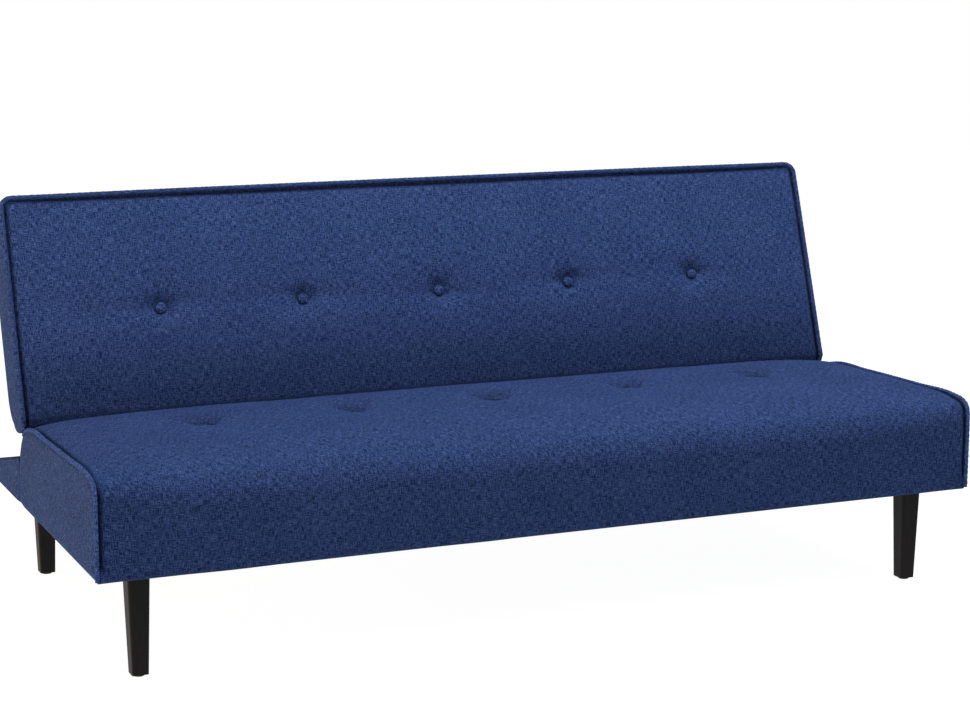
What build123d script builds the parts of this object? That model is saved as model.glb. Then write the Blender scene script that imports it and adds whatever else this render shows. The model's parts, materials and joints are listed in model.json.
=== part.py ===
"""Three-seat futon sofa bed with a click-clack backrest, in millimetres.

+X runs along the sofa, -Y is its front and +Z is up. The origin is on the floor, under the middle
of the sofa. "Left" is the -X end. The backrest is stored upright, leaning back by BACK_TILT.
"""
from build123d import *
import os
from math import cos, radians, sin, tan

# Overall sizes
WIDTH = 1800
FRONT_Y = -430
SEAT_REAR_Y = 206
BASE_REAR_Y = 430
BASE_Z = 200                      # underside of the base, and the height of the legs
SEAT_END_Z = 385                  # seat surface at its left and right ends
SEAT_CROWN_Z = 403                # highest line of the seat
DECK_Z = 288                      # top of the wood and springs that the seat foam lies on
WEDGE_FRONT_Z = 292               # covered base behind the seat: its top slopes down to the rear
WEDGE_REAR_Z = 246

# Backrest: its front face runs up from BACK_FOOT, BACK_LENGTH long, and it folds down flat
BACK_FOOT_Y, BACK_FOOT_Z = 133, 371
BACK_FLAT_Y, BACK_FLAT_Z = 224, 398   # where BACK_FOOT comes to rest when the back is flat
BACK_TILT = 19.06
BACK_LENGTH = 452
BACK_THICK = 114
BACK_BOTTOM = -7                  # the lower face, measured up the back from BACK_FOOT
BACK_LOWER_R = 46                 # round the lower rear edge
BACK_CROWN = 8                    # the front face bulges forward by this at half its height
RECLINE = 90 - BACK_TILT
LIFT = 5                          # forward travel that frees the ratchet

# Soft goods
COVER = 2
HEM = 30                          # the covers turn under the frame by this
TUFT_SPACING = 300
TUFTS_X = [i * TUFT_SPACING for i in (-2, -1, 0, 1, 2)]
SEAT_TUFT_Y = -104
SEAT_TUFT_FLOOR = 390
BACK_TUFT_UP = 213
BACK_TUFT_FLOOR = 4
TUFT_R = 50
TUFT_DEPTH = 16
BUTTON_R = 11
BUTTON_H = 7
TWINE_R = 1
KNOT_R = 4
WELT_R = 5.5
PAD = 2
WADDING = 6                       # on the frame, under the cover

# Wood
BOARD = 25
WOOD_Z = BASE_Z + COVER           # the dust cover and the hems lie under the wood
FRAME_END_X = WIDTH / 2 - 12      # the cover stands clear of the frame's edges
FRAME_FRONT_Y = FRONT_Y + 12
FRAME_REAR_Y = BASE_REAR_Y - 6
SEAT_RAIL_REAR_Y = SEAT_REAR_Y - 10
PAD_REAR_Y = SEAT_REAR_Y - 12
RAIL_INNER_X = FRAME_END_X - BOARD
RAIL_TOP_Z = 280                  # front and rear seat rails, under the spring clips
BACK_RAIL_FRONT = 90              # wood across the back, measured rearwards from its front face
BACK_BOARD = 2
BACK_WOOD_REAR = BACK_THICK - COVER - BACK_BOARD
BACK_RAIL_H = 40
BACK_RAIL_LOW = 66                # underside of the bottom rail
BACK_RAIL_TOP = BACK_LENGTH - COVER - 26
STILE_FRONT = 56
STILE_BOARD = 32
STILE_INNER_X = FRAME_END_X - STILE_BOARD
STRAP = 2.5
STRAP_W = 60
STRAPS_X = [-750, -600, -300, -150, 0, 150, 300, 600, 750]

# Springs
SPRINGS_X = [sign * x for x in (75, 225, 375, 525, 675, 800) for sign in (-1, 1)]
SPRING_R = 1.9
SPRING_HALF = 22
SPRING_RUNS = 21
SPRING_Z = RAIL_TOP_Z + 3
SPRING_ENDS_Y = (FRAME_FRONT_Y + BOARD / 2, SEAT_RAIL_REAR_Y - BOARD / 2)

# Legs
LEGS = {"front_left": (-808, -350), "front_right": (808, -350),
        "rear_left": (-808, 387), "rear_right": (808, 387)}
LEG_TOP, LEG_FOOT = 42, 31
GLIDE_H, GLIDE_R = 4, 11
BOLT_R = 4
BOLT_DEPTH = 50                   # into the leg
BLOCK_H = 30
BARREL_R, BARREL_H = 5, 12        # the T-nut's sleeve
FLANGE_R, FLANGE_H = 11, 1.5

# Click-clack hinge. Sizes across X are counted from the sofa's middle.
PLATE = 3
OUTER_PLATE_X = RAIL_INNER_X - PLATE
ARM = 4
ARM_X = STILE_INNER_X - ARM
INNER_PLATE_X = ARM_X - 4 - PLATE
PIN_R = 5
PIN_HEAD_R = 9
RUNNING = 0.05
HUB_R = 18
NOTCH_R = 12.5
ARM_W = 22
ARM_REACH = 190                   # up the back from BACK_FOOT
PAWL_T = 3
LEAF = 0.8
PAWL_X = ARM_X + (ARM - PAWL_T) / 2
PAWL_PIN_R = 3
PAWL_PIN_HEAD_R = 5
PAWL_LENGTH = 30
PAWL_SIDE = 200                   # direction of the pawl's nose from the hub, in the side view
PAWL_LIFT = 12
NOSE_GAP = 0.8
RATCHET_STOPS = [(-LIFT, 0), (35, 35), (RECLINE, RECLINE)]
NOTCH_HALF = 11.5
SLOT_X = (INNER_PLATE_X - 4, RAIL_INNER_X + 2)
SCREW_R, SCREW_HEAD_R = 2.2, 4.5
RIVET_R, RIVET_SHOULDER_R = 4, 6


def hinge_point():
    """The fixed point of the turn that takes the back's foot from upright to flat."""
    dy, dz = BACK_FLAT_Y - BACK_FOOT_Y, BACK_FLAT_Z - BACK_FOOT_Z
    reach = 0.5 / tan(radians(RECLINE / 2))
    return (BACK_FOOT_Y + BACK_FLAT_Y) / 2 + dz * reach, (BACK_FOOT_Z + BACK_FLAT_Z) / 2 - dy * reach


PIVOT_Y, PIVOT_Z = hinge_point()

# The side view of the base has Y across and Z up. The side view of the back has the distance
# behind its front face across, and the distance up from BACK_FOOT up.
SIDE = Plane.YZ
BACK_SIDE = Plane(origin=(0, BACK_FOOT_Y, BACK_FOOT_Z), z_dir=(1, 0, 0),
                  x_dir=(0, cos(radians(BACK_TILT)), -sin(radians(BACK_TILT))))
PIVOT_BACK = BACK_SIDE.to_local_coords(Vector(0, PIVOT_Y, PIVOT_Z))
PIVOT_REAR, PIVOT_UP = PIVOT_BACK.X, PIVOT_BACK.Y


# Where a part stands on its place along Z: on its lower end or hanging from its upper end.
STANDS = (Align.CENTER, Align.CENTER, Align.MIN)
HANGS = (Align.CENTER, Align.CENTER, Align.MAX)


# Helpers

def save(name, *solids):
    """Write one node: one solid, or a group of separate ones."""
    node = solids[0] if len(solids) == 1 else Compound(children=list(solids))
    export_step(node, f"parts/{name}.step")


def block(x, y, z):
    """A box from its (low, high) pair along each axis."""
    size = [high - low for low, high in (x, y, z)]
    middle = [(high + low) / 2 for low, high in (x, y, z)]
    return Pos(*middle) * Box(*size)


def across(outline, x, view=SIDE):
    """A side-view outline made solid from the low to the high end of x."""
    return extrude(view.offset(x[0]) * outline, amount=x[1] - x[0])


def outline(*corners):
    """A closed outline from (across, up, corner radius) triples."""
    points = [(a, b) for a, b, _ in corners]
    return make_face(FilletPolyline(*points, radius=[r for _, _, r in corners], close=True))


def hull(*circles):
    """The outline round several (across, up, radius) circles."""
    return make_hull([Pos(a, b) * CenterArc((0, 0), r, 0, 360) for a, b, r in circles])


def pin(r, x, across_y, up, view=SIDE):
    """A round bar along X at a place in a side view."""
    return across(Pos(across_y, up) * Circle(r), x, view)


def sided(side, low, high):
    """The (low, high) pair along X of a part that spans low to high from the middle."""
    return (low, high) if side > 0 else (-high, -low)


def both(make):
    """A part made once for each end, left first."""
    return [make(-1), make(1)]


# Seat and base, soft parts

def seat_profile():
    """Side view: upright front, crowned top, and a rear edge rounded off under the back."""
    edges = Line((FRONT_Y, BASE_Z), (FRONT_Y, 354))
    edges += ThreePointArc((FRONT_Y, 354), (FRONT_Y + 8, 376), (FRONT_Y + 31, 386))
    edges += ThreePointArc((FRONT_Y + 31, 386), (-150, SEAT_CROWN_Z), (95, 372))
    edges += ThreePointArc((95, 372), (166, 335), (SEAT_REAR_Y, 268))
    edges += Line((SEAT_REAR_Y, 268), (SEAT_REAR_Y, BASE_Z))
    edges += Line((SEAT_REAR_Y, BASE_Z), (FRONT_Y, BASE_Z))
    return make_face(edges)


def seat_front_view():
    """Front view: level in the middle, and lower at the two ends."""
    half, level, top = WIDTH / 2, WIDTH / 2 - 260, SEAT_CROWN_Z + 2
    edges = Line((-half, BASE_Z), (-half, SEAT_END_Z))
    edges += ThreePointArc((-half, SEAT_END_Z), (-half + 110, SEAT_END_Z + 14), (-level, top))
    edges += Line((-level, top), (level, top))
    edges += ThreePointArc((level, top), (half - 110, SEAT_END_Z + 14), (half, SEAT_END_Z))
    edges += Line((half, SEAT_END_Z), (half, BASE_Z))
    edges += Line((half, BASE_Z), (-half, BASE_Z))
    return make_face(edges)


def seat_block(inset):
    """The whole seat as one solid, drawn in by inset."""
    side_view, front_view = seat_profile(), seat_front_view()
    if inset:
        side_view = offset(side_view, -inset, kind=Kind.INTERSECTION)
        front_view = offset(front_view, -inset, kind=Kind.INTERSECTION)
    length = across(side_view, (-WIDTH / 2 + inset, WIDTH / 2 - inset))
    depth = extrude(Plane.XZ.offset(-BASE_REAR_Y) * front_view, amount=BASE_REAR_Y - FRONT_Y)
    return length & depth


def tuft(floor):
    """A dimple whose flat floor is at Z = floor."""
    cone = Cone(BUTTON_R + 1, TUFT_R, TUFT_DEPTH, align=STANDS)
    return Pos(0, 0, floor) * cone


def seat_tufts(drop):
    """The seat's five dimples, lowered by drop."""
    return [Pos(x, SEAT_TUFT_Y, 0) * tuft(SEAT_TUFT_FLOOR - drop) for x in TUFTS_X]


def hinge_slots(front_y):
    """Room for the hinge at each end of the seat, open to the rear."""
    return both(lambda side: block(sided(side, *SLOT_X), (front_y, BASE_REAR_Y), (DECK_Z - 16, 450)))


def seat_filling():
    """What the seat cover is stretched over: the space inside it."""
    return seat_block(COVER) - seat_tufts(COVER)


def seat_cover():
    """The whole seat's cover, open behind and inside the hem under the frame."""
    hemmed = (-WIDTH / 2 + HEM, WIDTH / 2 - HEM)
    inside = (-WIDTH / 2 + COVER, WIDTH / 2 - COVER)
    open_bottom = block(hemmed, (FRONT_Y + HEM, SEAT_REAR_Y + 1), (BASE_Z - 1, BASE_Z + COVER + 1))
    open_rear = block(inside, (SEAT_REAR_Y - COVER - 1, SEAT_REAR_Y + 1), (WOOD_Z, WEDGE_FRONT_Z - COVER))
    shell = seat_block(0) - seat_tufts(0) - seat_filling()
    return shell - open_bottom - open_rear - hinge_slots(PIVOT_Y - 28)


def seat_foam():
    """The foam between the springs and the cover, with room for the hinges."""
    above_deck = block((-WIDTH, WIDTH), (-BASE_REAR_Y, BASE_REAR_Y), (DECK_Z, 450))
    return (seat_filling() & above_deck) - hinge_slots(PIVOT_Y - 45)


def spring_pad():
    """Felt between the springs and the foam."""
    felt = block((-RAIL_INNER_X, RAIL_INNER_X), (FRONT_Y + COVER, PAD_REAR_Y), (DECK_Z - PAD, DECK_Z))
    return felt - hinge_slots(PIVOT_Y - 45)


def seat_welt(side):
    """Piping along the top of one end and down its front corner."""
    front, top = FRONT_Y + WELT_R, SEAT_END_Z - 3
    route = FilletPolyline((124, 352), (80, top - 12), (front, top), (front, BASE_Z + 6),
                           radius=[120, 26])
    rail = Plane.YZ.offset(side * (WIDTH / 2 - WELT_R)) * route
    return sweep(Plane(origin=rail @ 0, z_dir=rail % 0) * Circle(WELT_R), rail)


def button():
    """A covered button with a soft edge, standing on Z = 0."""
    disc = Cylinder(BUTTON_R, BUTTON_H, align=STANDS)
    return fillet(disc.edges().sort_by(Axis.Z)[-1], BUTTON_H / 2)


def twine(length):
    """Twine that hangs down from Z = 0 to a knot."""
    cord = Pos(0, 0, -length / 2) * Cylinder(TWINE_R, length)
    return cord + Pos(0, 0, -length) * Cylinder(KNOT_R, 3)


def rear_wedge(inset):
    """The covered base behind the seat, drawn in by inset."""
    slope = (WEDGE_REAR_Z - WEDGE_FRONT_Z) / (BASE_REAR_Y - SEAT_REAR_Y)
    rear = BASE_REAR_Y - inset
    side_view = outline((SEAT_REAR_Y, BASE_Z, 0), (SEAT_REAR_Y, WEDGE_FRONT_Z - inset, 0),
                        (rear, WEDGE_FRONT_Z - inset + slope * (rear - SEAT_REAR_Y), 10 - inset),
                        (rear, BASE_Z, 0))
    return across(side_view, (-WIDTH / 2 + inset, WIDTH / 2 - inset))


def base_rear_cover():
    """The cover of the base behind the seat, with its hem turned under the frame."""
    hemmed = (-WIDTH / 2 + HEM, WIDTH / 2 - HEM)
    open_bottom = block(hemmed, (SEAT_REAR_Y, BASE_REAR_Y - HEM), (BASE_Z, BASE_Z + COVER))
    return rear_wedge(0) - rear_wedge(COVER) - open_bottom


def dust_cover():
    """A sheet that closes the underside between the hems."""
    hemmed = (-WIDTH / 2 + HEM, WIDTH / 2 - HEM)
    sheet = block(hemmed, (FRONT_Y + HEM, BASE_REAR_Y - HEM), (BASE_Z, WOOD_Z))
    return sheet - [Pos(x, y, BASE_Z) * Cylinder(BOLT_R + 0.5, 4) for x, y in LEGS.values()]


# Seat and base, frame

def front_rail():
    """The board along the front, which carries the springs' front ends."""
    return block((-RAIL_INNER_X, RAIL_INNER_X), (FRAME_FRONT_Y, FRAME_FRONT_Y + BOARD), (WOOD_Z, RAIL_TOP_Z))


def seat_rear_rail():
    """The board behind the springs, between the two hinges."""
    half = INNER_PLATE_X - 12
    return block((-half, half), (SEAT_RAIL_REAR_Y - BOARD, SEAT_RAIL_REAR_Y), (WOOD_Z, RAIL_TOP_Z))


def frame_side_view(front):
    """Outline of one end of the frame: it follows the seat's rear edge and the slope behind it."""
    return outline((front, WOOD_Z, 0), (front, DECK_Z, 0), (SEAT_REAR_Y - 22, DECK_Z, 0),
                   (SEAT_REAR_Y - 4, DECK_Z - 26, 0), (FRAME_REAR_Y, WEDGE_REAR_Z - 8, 0),
                   (FRAME_REAR_Y, WOOD_Z, 0))


def side_rail(side):
    """One board from the front corner to the rear corner, cut down behind the seat."""
    board = frame_side_view(FRAME_FRONT_Y)
    return across(board, sided(side, RAIL_INNER_X, FRAME_END_X)) - plate_screws(side)


def frame_wadding():
    """Polyester wadding between the frame and the cover, along the front and the two ends."""
    ends = both(lambda side: across(frame_side_view(FRAME_FRONT_Y + COVER),
                                    sided(side, FRAME_END_X, FRAME_END_X + WADDING)))
    length = (-FRAME_END_X + COVER, FRAME_END_X - COVER)
    return ends + [block(length, (FRAME_FRONT_Y - WADDING, FRAME_FRONT_Y), (WOOD_Z, DECK_Z - PAD))]


def base_rear_rail():
    """The board along the rear of the base."""
    depth = (FRAME_REAR_Y - BOARD, FRAME_REAR_Y)
    return block((-RAIL_INNER_X, RAIL_INNER_X), depth, (WOOD_Z, WEDGE_REAR_Z - 10))


def cross_rails():
    """Boards from front to rear: two under the springs and three behind the seat."""
    front, middle, rear = FRAME_FRONT_Y + BOARD, SEAT_RAIL_REAR_Y - BOARD, FRAME_REAR_Y - BOARD
    seat = [block((x - BOARD / 2, x + BOARD / 2), (front, middle), (WOOD_Z, RAIL_TOP_Z - 20))
            for x in (-300, 300)]
    base = [block((x - BOARD / 2, x + BOARD / 2), (SEAT_RAIL_REAR_Y, rear), (WOOD_Z, WEDGE_REAR_Z - 12))
            for x in (-450, 0, 450)]
    return seat + base


def seat_spring(x):
    """A zigzag wire spring from the front rail to the rear seat rail."""
    first, last = SPRING_ENDS_Y
    pitch = (last - first) / (SPRING_RUNS - 1)
    route = []
    for run in range(SPRING_RUNS):
        y = first + run * pitch
        end = SPRING_HALF if run % 2 == 0 else -SPRING_HALF
        route.append(Line((-end, y), (end, y)))
        if run < SPRING_RUNS - 1:
            bulge = end + (pitch / 2 if end > 0 else -pitch / 2)
            route.append(ThreePointArc((end, y), (bulge, y + pitch / 2), (end, y + pitch)))
    wire = Pos(x, 0, SPRING_Z) * Wire(route)
    return sweep(Plane(origin=wire @ 0, z_dir=wire % 0) * Circle(SPRING_R), wire)


def spring_clips():
    """A bent clip over each end of each spring."""
    clips = []
    for x in SPRINGS_X:
        for y in SPRING_ENDS_Y:
            body = block((x - 11, x + 11), (y - 8, y + 8), (RAIL_TOP_Z, DECK_Z - PAD))
            bore = block((x - 12, x + 12), (y - SPRING_R, y + SPRING_R),
                         (SPRING_Z - SPRING_R, SPRING_Z + SPRING_R))
            clips.append(body - bore)
    return clips


def corner_block(x, y):
    """A wooden block in one corner of the base, bored for the leg's T-nut."""
    front, rear = FRAME_FRONT_Y + BOARD, FRAME_REAR_Y - BOARD
    near = (front, y + 48) if y < 0 else (y - 48, rear)
    wood = block(sided(x, 760, RAIL_INNER_X), near, (WOOD_Z, WOOD_Z + BLOCK_H))
    lower = Pos(x, y, WOOD_Z) * Cylinder(BOLT_R + 0.3, 3 * BLOCK_H)
    upper = Pos(x, y, WOOD_Z + BLOCK_H) * Cylinder(BARREL_R, BARREL_H, align=HANGS)
    return wood - lower - upper


def t_nut(x, y):
    """A T-nut pressed into the top of a corner block."""
    top = WOOD_Z + BLOCK_H
    barrel = Pos(x, y, top) * Cylinder(BARREL_R, BARREL_H, align=HANGS)
    flange = Pos(x, y, top) * Cylinder(FLANGE_R, FLANGE_H, align=STANDS)
    return barrel + flange - Pos(x, y, top) * Cylinder(BOLT_R, 4 * BARREL_H)


def hanger_bolt(x, y):
    """A bolt from inside the leg to just above the T-nut."""
    top = WOOD_Z + BLOCK_H + 4
    return Pos(x, y, BASE_Z - BOLT_DEPTH) * Cylinder(BOLT_R, top - BASE_Z + BOLT_DEPTH, align=STANDS)


def leg(x, y):
    """A square leg that tapers evenly to its foot, bored for the hanger bolt."""
    top = Pos(x, y, BASE_Z) * RectangleRounded(LEG_TOP, LEG_TOP, 5)
    foot = Pos(x, y, GLIDE_H) * RectangleRounded(LEG_FOOT, LEG_FOOT, 4)
    return loft([foot, top]) - Pos(x, y, BASE_Z) * Cylinder(BOLT_R, 2 * BOLT_DEPTH)


def glide(x, y):
    """A plastic glide under a leg."""
    disc = Pos(x, y, GLIDE_H / 2) * Cylinder(GLIDE_R, GLIDE_H)
    return chamfer(disc.edges().sort_by(Axis.Z)[0], 1)


# Backrest

def back_profile(inset):
    """Side view of the back: crowned front, rounded edges, and a large radius at its lower rear."""
    top, bottom = BACK_LENGTH - inset, BACK_BOTTOM + inset
    front, rear = inset, BACK_THICK - inset
    edges = ThreePointArc((front, bottom + 20), (front - BACK_CROWN, BACK_LENGTH / 2), (front, top - 8))
    edges += ThreePointArc((front, top - 8), (front + 2.4, top - 2.4), (front + 8, top))
    edges += Line((front + 8, top), (rear - 28, top))
    edges += ThreePointArc((rear - 28, top), (rear - 8.2, top - 8.2), (rear, top - 28))
    lower = BACK_LOWER_R - inset
    edges += Line((rear, top - 28), (rear, bottom + lower))
    edges += ThreePointArc((rear, bottom + lower), (rear - lower * (1 - cos(radians(45))),
                           bottom + lower * (1 - sin(radians(45)))), (rear - lower, bottom))
    edges += Line((rear - lower, bottom), (front + 20, bottom))
    edges += ThreePointArc((front + 20, bottom), (front + 5.9, bottom + 5.9), (front, bottom + 20))
    return make_face(edges)


def back_block(inset):
    """The whole back as one solid, drawn in by inset."""
    return across(back_profile(inset), (-WIDTH / 2 + inset, WIDTH / 2 - inset), BACK_SIDE)


def on_back(x, up, rear):
    """A place on the back whose +Z points out of its front face."""
    place = BACK_SIDE.from_local_coords(Vector(rear, up, x))
    return Plane(origin=place, x_dir=(1, 0, 0), z_dir=-BACK_SIDE.x_dir)


def back_bar(x, rear, up):
    """A straight bar in the back's frame, from its (low, high) pairs."""
    section = outline((rear[0], up[0], 0), (rear[0], up[1], 0), (rear[1], up[1], 0), (rear[1], up[0], 0))
    return across(section, x, BACK_SIDE)


def back_tufts(drop):
    """The back's five dimples, sunk by drop."""
    return [on_back(x, BACK_TUFT_UP, BACK_TUFT_FLOOR + drop) * tuft(0) for x in TUFTS_X]


def back_filling():
    """What the back cover is stretched over: the space inside it."""
    return back_block(COVER) - back_tufts(COVER)


def arm_slots():
    """Slits in the back's lower edge: deep ones for the hinge arms, shallow ones over the plates."""
    def slit(x, half, up):
        room = (PIVOT_REAR - half, PIVOT_REAR + half)
        return back_bar(x, room, (PIVOT_UP, up))
    arms = both(lambda side: slit(sided(side, ARM_X - 2, ARM_X + ARM + 2), 15, 34))
    return arms + both(lambda side: slit(sided(side, *SLOT_X), 26, 4))


def back_cover():
    """The whole back's cover, slit for the hinges."""
    return back_block(0) - back_tufts(0) - back_filling() - arm_slots()


def back_foam():
    """A slab over the whole front, and a thicker middle that reaches back to the straps."""
    half = WIDTH / 2
    slab = back_bar((-half, half), (-20, STILE_FRONT), (BACK_BOTTOM, BACK_LENGTH))
    room = INNER_PLATE_X - 2
    middle = back_bar((-room, room), (STILE_FRONT, BACK_RAIL_FRONT - STRAP), (BACK_BOTTOM, BACK_LENGTH))
    return back_filling() & (slab + middle)


def back_stile(side):
    """The board at one end of the back, cut off at its lower rear corner."""
    top = BACK_LENGTH - COVER - 12
    board = outline((STILE_FRONT, BACK_BOTTOM + 14, 0), (STILE_FRONT, top, 0), (BACK_WOOD_REAR - 8, top, 0),
                    (BACK_WOOD_REAR, top - 16, 0), (BACK_WOOD_REAR, BACK_BOTTOM + 62, 0),
                    (STILE_FRONT + 14, BACK_BOTTOM + 14, 0))
    wood = across(board, sided(side, STILE_INNER_X, STILE_INNER_X + STILE_BOARD), BACK_SIDE)
    return wood - arm_screws(side)


def back_rails():
    """The bottom rail and the top rail, between the two stiles."""
    length, depth = (-STILE_INNER_X, STILE_INNER_X), (BACK_RAIL_FRONT, BACK_WOOD_REAR)
    bottom = back_bar(length, depth, (BACK_RAIL_LOW, BACK_RAIL_LOW + BACK_RAIL_H))
    top = back_bar(length, depth, (BACK_RAIL_TOP - BACK_RAIL_H, BACK_RAIL_TOP))
    return bottom, top


def back_mid_stiles():
    """Two uprights between the bottom rail and the top rail."""
    between = (BACK_RAIL_LOW + BACK_RAIL_H, BACK_RAIL_TOP - BACK_RAIL_H)
    return [back_bar((x - 20, x + 20), (BACK_RAIL_FRONT, BACK_WOOD_REAR), between) for x in (-450, 450)]


def back_webbing():
    """Elastic straps from the bottom rail to the top rail, behind the foam."""
    length, depth = (BACK_RAIL_LOW + 4, BACK_RAIL_TOP - 4), (BACK_RAIL_FRONT - STRAP, BACK_RAIL_FRONT)
    return [back_bar((x - STRAP_W / 2, x + STRAP_W / 2), depth, length) for x in STRAPS_X]


def back_panel_board():
    """A thin board that closes the frame behind."""
    return back_bar((-FRAME_END_X, FRAME_END_X), (BACK_WOOD_REAR, BACK_WOOD_REAR + BACK_BOARD),
                    (BACK_BOTTOM + 64, BACK_RAIL_TOP - 16))


def back_welt():
    """Piping up one end of the front face, along its top and down the other end."""
    side, top, rear = WIDTH / 2 - WELT_R, BACK_LENGTH - WELT_R, WELT_R - 2
    face = on_back(0, 0, rear)
    route = face * FilletPolyline((-side, 26), (-side, top), (side, top), (side, 26), radius=[24, 24])
    return sweep(Plane(origin=route @ 0, z_dir=route % 0) * Circle(WELT_R), route)


# Click-clack hinge

def toward(angle, distance, start):
    """A point at an angle and distance from start, in the side view."""
    return start[0] + distance * cos(radians(angle)), start[1] + distance * sin(radians(angle))


HUB = (PIVOT_Y, PIVOT_Z)
# Engaged, the pawl lies along the hub's rim, with its nose pointing at the hub's middle.
NOSE_TIP = toward(PAWL_SIDE, NOTCH_R + NOSE_GAP, HUB)
NOSE_LENGTH = 8
PAWL_PIN = toward(PAWL_SIDE - 90, -PAWL_LENGTH, toward(PAWL_SIDE, NOSE_LENGTH, NOSE_TIP))
SPACERS = [(100, 240), (132, 256)]
PLATE_SCREWS = [(88, 262), (88, 222), (168, 222)]


def hinge_plate(lower):
    """A plate with a lug for the hub and the pawl, on a foot round the lower circles."""
    lug = hull((*HUB, HUB_R + 1), (*PAWL_PIN, 11), (168, 252, 14))
    foot = hull(*[(y, z, 12) for y, z in lower], (168, 250, 12))
    return lug + foot


def plate_holes(x):
    """The bores that both plates share."""
    bars = [pin(PIN_R, x, *HUB), pin(PAWL_PIN_R, x, *PAWL_PIN)]
    return bars + [pin(RIVET_R, x, *place) for place in SPACERS]


def outer_plate(side):
    """The plate that is screwed to the side rail."""
    x = sided(side, OUTER_PLATE_X, OUTER_PLATE_X + PLATE)
    plate = across(hinge_plate(PLATE_SCREWS), x)
    return plate - plate_holes(x) - [pin(SCREW_R, x, *place) for place in PLATE_SCREWS]


def inner_plate(side):
    """The plate on the other side of the arm and the pawl."""
    x = sided(side, INNER_PLATE_X, INNER_PLATE_X + PLATE)
    return across(hinge_plate(SPACERS), x) - plate_holes(x)


def plate_screws(side):
    """Wood screws that hold the outer plate to the side rail."""
    head = sided(side, OUTER_PLATE_X - 2, OUTER_PLATE_X)
    shank = sided(side, OUTER_PLATE_X - 1, OUTER_PLATE_X + 20)
    return [pin(SCREW_HEAD_R, head, *place) + pin(SCREW_R, shank, *place) for place in PLATE_SCREWS]


def pivot_pin(side):
    """The pin that the back turns on."""
    head = sided(side, INNER_PLATE_X - 2.5, INNER_PLATE_X)
    shank = sided(side, INNER_PLATE_X - 1, OUTER_PLATE_X + PLATE)
    return pin(PIN_HEAD_R, head, *HUB) + pin(PIN_R, shank, *HUB)


def pawl_pin(side):
    """The pin that the pawl turns on."""
    head = sided(side, INNER_PLATE_X - 2, INNER_PLATE_X)
    shank = sided(side, INNER_PLATE_X - 1, OUTER_PLATE_X + PLATE)
    return pin(PAWL_PIN_HEAD_R, head, *PAWL_PIN) + pin(PAWL_PIN_R, shank, *PAWL_PIN)


def spacer_rivets(side):
    """Shouldered rivets that hold the two plates apart."""
    rivets = []
    for place in SPACERS:
        shoulder = pin(RIVET_SHOULDER_R, sided(side, INNER_PLATE_X + PLATE, OUTER_PLATE_X), *place)
        shank = pin(RIVET_R, sided(side, INNER_PLATE_X, OUTER_PLATE_X + PLATE), *place)
        rivets.append(shoulder + shank)
    return rivets


def pivot_washers(side):
    """Washers that keep the hub in the middle between the plates."""
    inner = sided(side, INNER_PLATE_X + PLATE, ARM_X - 0.3)
    outer = sided(side, ARM_X + ARM + 0.3, OUTER_PLATE_X)
    return [pin(10, x, *HUB) - pin(PIN_R, x, *HUB) for x in (inner, outer)]


def notch(low, high):
    """Room for the pawl's nose while the back's recline is from low to high degrees."""
    arm_up = 90 - BACK_TILT
    start = PAWL_SIDE - arm_up + low - NOTCH_HALF
    stop = PAWL_SIDE - arm_up + high + NOTCH_HALF
    rim = HUB_R + 2
    middle = toward((start + stop) / 2, rim, (0, 0))
    wedge = Line(toward(start, NOTCH_R, (0, 0)), toward(start, rim, (0, 0)))
    wedge += ThreePointArc(toward(start, rim, (0, 0)), middle, toward(stop, rim, (0, 0)))
    wedge += Line(toward(stop, rim, (0, 0)), toward(stop, NOTCH_R, (0, 0)))
    wedge += ThreePointArc(toward(stop, NOTCH_R, (0, 0)), toward((start + stop) / 2, NOTCH_R, (0, 0)),
                           toward(start, NOTCH_R, (0, 0)))
    return make_face(wedge)


def hinge_arm(side):
    """The notched hub and the arm that is screwed to the back's stile."""
    reach = ARM_REACH - PIVOT_UP - ARM_W / 2
    bar = hull((0, 0, ARM_W / 2), (0, reach, ARM_W / 2))
    hub = Circle(HUB_R) - Circle(PIN_R + RUNNING)
    # A notch's angles count from the arm, which points along the outline's second axis.
    for low, high in RATCHET_STOPS:
        hub -= Rot(0, 0, 90) * notch(low, high)
    plate = Pos(PIVOT_REAR, PIVOT_UP) * (hub + (bar - Circle(HUB_R - 0.5)))
    x = sided(side, ARM_X, ARM_X + ARM)
    return across(plate, x, BACK_SIDE) - arm_screws(side)


def arm_screws(side):
    """Screws through the arm into the stile."""
    head = sided(side, ARM_X - 2.5, ARM_X)
    shank = sided(side, ARM_X - 1, ARM_X + ARM + 22)
    places = [(PIVOT_REAR, up) for up in (62, 112, 162)]
    return [pin(SCREW_HEAD_R, head, *place, BACK_SIDE) + pin(SCREW_R, shank, *place, BACK_SIDE)
            for place in places]


def pawl(side):
    """The pawl, lifted clear of the hub."""
    along = Plane(origin=(0, *PAWL_PIN), z_dir=(1, 0, 0),
                  x_dir=(0, cos(radians(PAWL_SIDE - 90)), sin(radians(PAWL_SIDE - 90))))
    body = hull((0, 0, 6.5), (PAWL_LENGTH, 1.5, 4))
    nose = Pos(PAWL_LENGTH, -NOSE_LENGTH / 2) * Rectangle(4, NOSE_LENGTH)
    lever = Rot(0, 0, PAWL_LIFT) * (body + nose - Circle(PAWL_PIN_R + RUNNING))
    return across(lever, sided(side, PAWL_X, PAWL_X + PAWL_T), along)


def pawl_spring(side):
    """A leaf spring from a spacer to just short of the lifted pawl."""
    spacer_y, spacer_z = SPACERS[1]
    root = spacer_z + RIVET_SHOULDER_R + LEAF / 2
    beside = toward(PAWL_SIDE + PAWL_LIFT, 6.8, PAWL_PIN)
    tip = toward(PAWL_SIDE - 90 + PAWL_LIFT, 20, beside)
    leaf = trace(Polyline((spacer_y - 6, root), (spacer_y + 8, root), tip), LEAF)
    return across(leaf, sided(side, PAWL_X, PAWL_X + PAWL_T))


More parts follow.
